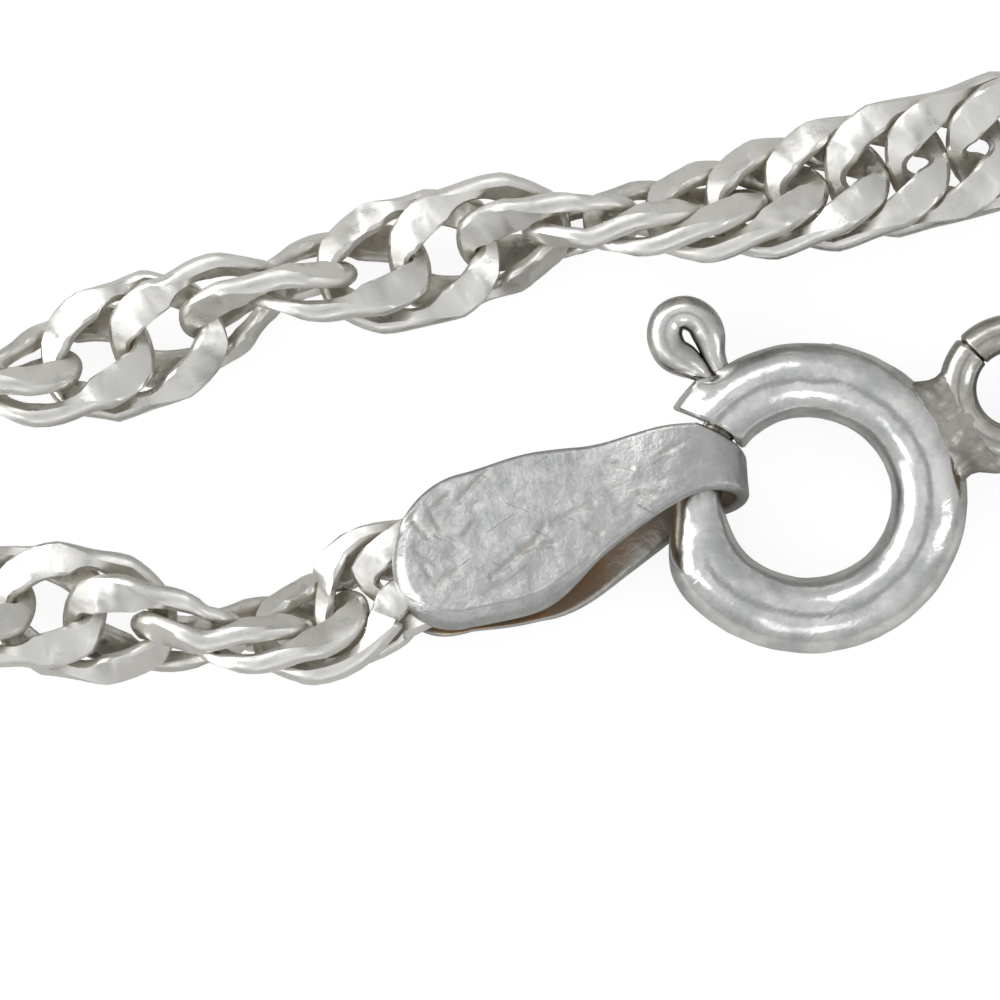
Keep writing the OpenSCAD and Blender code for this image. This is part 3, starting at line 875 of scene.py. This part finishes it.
def worn_silver(name, colours, roughness, dents, film):
    """Polished silver after years of wear: bright, with soft dents in its reflections, patches
    under a millimetre across, faint scratches, drawn a tenth of a millimetre wide so that they
    show, and a darker grey-brown where ambient occlusion finds the surface closed in."""
    material, tree = bare_material(name)
    place = add_node(tree, "ShaderNodeTexCoord")
    hollow = add_node(tree, "ShaderNodeAmbientOcclusion", {"Distance": 0.6 * MM}, samples=5)
    # Darker grey-brown where ambient occlusion finds the surface closed in
    corner = add_node(tree, "ShaderNodeMapRange", {
        "Value": hollow.outputs["AO"], "From Min": 0.2, "From Max": 0.8, "To Min": 1, "To Max": 0})
    cloud = add_node(tree, "ShaderNodeTexNoise", {
        "Vector": place.outputs["Object"], "Scale": 1300, "Detail": 6, "Roughness": 0.62})
    contrast = add_node(tree, "ShaderNodeMapRange", {
        "Value": cloud, "From Min": 0.36, "From Max": 0.62})
    pale = add_node(tree, "ShaderNodeMix", {
        0: contrast, 6: finish_colour(colours[0]), 7: finish_colour(colours[1])}, data_type="RGBA")
    colour = add_node(tree, "ShaderNodeMix", {
        0: corner, 6: pale.outputs[2], 7: finish_colour(film)}, data_type="RGBA")
    rough = add_node(tree, "ShaderNodeMapRange", {
        "Value": contrast, "To Min": roughness + 0.14, "To Max": roughness})
    soft = add_node(tree, "ShaderNodeTexNoise", {
        "Vector": place.outputs["Object"], "Scale": 1500, "Detail": 5})
    drawn = add_node(tree, "ShaderNodeMapping", {
        "Vector": place.outputs["Object"], "Rotation": (0, 0, 0.7),
        "Scale": (1.5 * MM, 0.12 * MM, 0.7 * MM)}, vector_type="TEXTURE")
    streak = add_node(tree, "ShaderNodeTexNoise", {"Vector": drawn, "Scale": 1, "Detail": 3})
    score = add_node(tree, "ShaderNodeMapRange", {
        "Value": streak, "From Min": 0.66, "From Max": 0.76, "To Min": 0, "To Max": -0.1})
    relief = add_node(tree, "ShaderNodeMath", {0: soft, 1: score}, operation="ADD")
    bump = add_node(tree, "ShaderNodeBump", {
        "Height": relief, "Strength": 0.5, "Distance": dents * MM})
    surface = add_node(tree, "ShaderNodeBsdfPrincipled", {
        "Base Color": colour.outputs[2], "Metallic": 1, "Roughness": rough, "Normal": bump})
    add_node(tree, "ShaderNodeOutputMaterial", {"Surface": surface})
    return material


def fused(base, steps):
    """Adds and cuts other closed shapes on a piece, one after the other, and leaves its cut
    edges sharp."""
    for shape, operation in steps:
        step = base.modifiers.new(shape.name, "BOOLEAN")
        step.object = shape
        step.operation = operation
        step.solver = "EXACT"
        step.material_mode = "TRANSFER"
        step.use_self = True
    depsgraph = bpy.context.evaluated_depsgraph_get()
    mesh = bpy.data.meshes.new_from_object(base.evaluated_get(depsgraph), depsgraph=depsgraph)
    base.modifiers.clear()
    base.data = mesh
    mesh.shade_smooth()
    mesh.set_sharp_from_angle(angle=math.radians(38))
    for shape, operation in steps:
        bpy.data.objects.remove(shape)


# Tumble-polished tube, rough grey cast solder, and an eye dulled by the solderer's flame
clasp_silver = worn_silver("polished_clasp_silver", ("#CDCFD0", "#FBFBF9"), 0.13, 0.05, "#7C7362")
solder_silver = worn_silver("cast_solder_silver", ("#8C8A84", "#BBB8B0"), 0.34, 0.16, "#6B6657")
eye_silver = worn_silver("annealed_eye_silver", ("#AFADA7", "#DEDCD6"), 0.16, 0.05, "#6E6654")
for piece, finish in ((ring, clasp_silver), (bore, clasp_silver), (slot, clasp_silver),
                      (eye, eye_silver), (web, solder_silver)):
    piece.data.materials.append(finish)
fused(ring, [(web, "UNION"), (eye, "UNION"), (bore, "DIFFERENCE"), (slot, "DIFFERENCE")])
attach(ring, "necklace")
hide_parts("clasp_ring")

# The trigger: the sprung gate wire inside the tube, with thinner wire bent into a small loop
# for the thumbnail, both of its legs pinched into the slot. It slides round inside the tube
# against a coil spring.
GATE_R = 0.33
GATE_START = 100
GATE_END = 191
# The tip is thinner by this much, and comes down to it over this many degrees
TIP_THINNER = 0.09
GATE_TAPER = 8
KNOB_STEPS = 5
# The loop's line in the ring's own plane: angle, reach and radius
KNOB_LINE = [(126.4, 2.4, 0.17), (126.3, 2.8, 0.17), (126.1, 3.15, 0.19), (125, 3.45, 0.235),
             (122.9, 3.82, 0.325), (122.5, 4.14, 0.335), (124.7, 4.43, 0.335), (128.8, 4.53, 0.34),
             (132.5, 4.35, 0.35), (134.4, 4.02, 0.35), (133.3, 3.71, 0.33), (132.2, 3.42, 0.24),
             (131.9, 3.2, 0.175), (131.7, 2.8, 0.17), (131.7, 2.4, 0.17)]


def gate_radius(angle):
    """The gate wire, drawn in at its tip so that it finds the tube's mouth."""
    return GATE_R - TIP_THINNER * smooth_step((angle - GATE_END + GATE_TAPER) / GATE_TAPER)


def knob_sections():
    """The knob's wire line, smoothed between its rows."""
    rows = np.array([[*ring_point(angle, reach), radius] for angle, reach, radius in KNOB_LINE])
    rows = np.vstack([2 * rows[0] - rows[1], rows, 2 * rows[-1] - rows[-2]])
    smooth = np.array(smooth_line(rows, KNOB_STEPS))
    forward = np.gradient(smooth[:, :3], axis=0)
    forward /= np.linalg.norm(forward, axis=1)[:, None]
    return [(row[:3], np.array([f[1], -f[0], 0]), row[3]) for row, f in zip(smooth, forward)]


gate = swept("gate_and_knob", around_ring(GATE_START, GATE_END, 2.5, gate_radius), 32)
knob = swept("knob_loop", knob_sections(), 24)
wire_silver = worn_silver("polished_wire_silver", ("#C4C4C1", "#F2F2F0"), 0.2, 0.05, "#6B6455")
for piece in (gate, knob):
    piece.data.materials.append(wire_silver)
fused(gate, [(knob, "UNION")])
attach(gate, "trigger")
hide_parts("trigger")

# The floor and lights, which are not part of the necklace: a white sheet under a grey studio sky
# with large soft boxes round it. The sheet is bright to the eye and grey in the metal, as where
# a small object is photographed on glass above a lit sheet.
world = bpy.data.worlds.new("studio")
bpy.context.scene.world = world
world.use_nodes = True
tree = world.node_tree
tree.nodes.clear()
direction = add_node(tree, "ShaderNodeTexCoord")
parts = add_node(tree, "ShaderNodeSeparateXYZ", {0: direction.outputs["Generated"]})
sky = add_node(tree, "ShaderNodeValToRGB", {"Fac": parts.outputs["Z"]})
ramp = sky.color_ramp
ramp.elements[0].position = 0.0
ramp.elements[0].color = (0.46, 0.45, 0.43, 1)
ramp.elements[1].position = 1.0
ramp.elements[1].color = (0.3, 0.3, 0.3, 1)
for where, level in ((0.2, 0.47), (0.55, 0.56), (0.8, 0.66), (0.975, 0.7), (0.993, 0.34)):
    mark = ramp.elements.new(where)
    mark.color = (level, level, level, 1)
glow = add_node(tree, "ShaderNodeBackground", {"Color": sky, "Strength": 1.0})
add_node(tree, "ShaderNodeOutputWorld", {"Surface": glow})

# Soft boxes: the direction they stand in and how high, in degrees, their two sides and their
# distance in metres, and their glow
SOFT_BOXES = [("long_box_left", 168, 27, 0.19, 0.09, 0.16, 2.9),
              ("box_behind", 115, 42, 0.12, 0.05, 0.18, 1.6),
              ("strip_right", -12, 34, 0.02, 0.08, 0.16, 3.0),
              ("box_front_left", 215, 50, 0.05, 0.05, 0.18, 1.4),
              ("box_in_front", 276, 42, 0.09, 0.06, 0.18, 0.7)]
for name, azimuth, raised, wide, tall, distance, strength in SOFT_BOXES:
    box_data = bpy.data.lights.new(name, "AREA")
    box_data.shape = "RECTANGLE"
    box_data.size = wide
    box_data.size_y = tall
    box_data.energy = strength * math.pi * wide * tall
    box = bpy.data.objects.new(name, box_data)
    flat = heading(azimuth) * math.cos(math.radians(raised))
    towards = Vector((flat[0], flat[1], math.sin(math.radians(raised))))
    box.location = VIEW_CENTRE + towards * distance
    box.rotation_euler = towards.to_track_quat("Z", "Y").to_euler()
    box.visible_camera = False
    bpy.context.scene.collection.objects.link(box)

HALF_FLOOR = 3
floor_mesh = bpy.data.meshes.new("floor")
floor_mesh.from_pydata([(x * HALF_FLOOR, y * HALF_FLOOR, 0)
                        for x, y in ((-1, -1), (1, -1), (1, 1), (-1, 1))], [], [(0, 1, 2, 3)])
floor = bpy.data.objects.new("floor", floor_mesh)
bpy.context.scene.collection.objects.link(floor)
sheet, tree = bare_material("lit_sheet")
seen_by = add_node(tree, "ShaderNodeLightPath")
matt = add_node(tree, "ShaderNodeBsdfDiffuse", {"Color": finish_colour("#D0CFCC")})
lit = add_node(tree, "ShaderNodeBsdfDiffuse", {"Color": finish_colour("#8A8A8A")})
light = add_node(tree, "ShaderNodeEmission", {"Color": (1, 1, 1, 1), "Strength": 0.86})
bright = add_node(tree, "ShaderNodeAddShader", {0: lit, 1: light})
either = add_node(tree, "ShaderNodeMixShader", {
    0: seen_by.outputs["Is Camera Ray"], 1: matt, 2: bright})
add_node(tree, "ShaderNodeOutputMaterial", {"Surface": either})
floor_mesh.materials.append(sheet)
bpy.context.scene.view_settings.view_transform = "Standard"
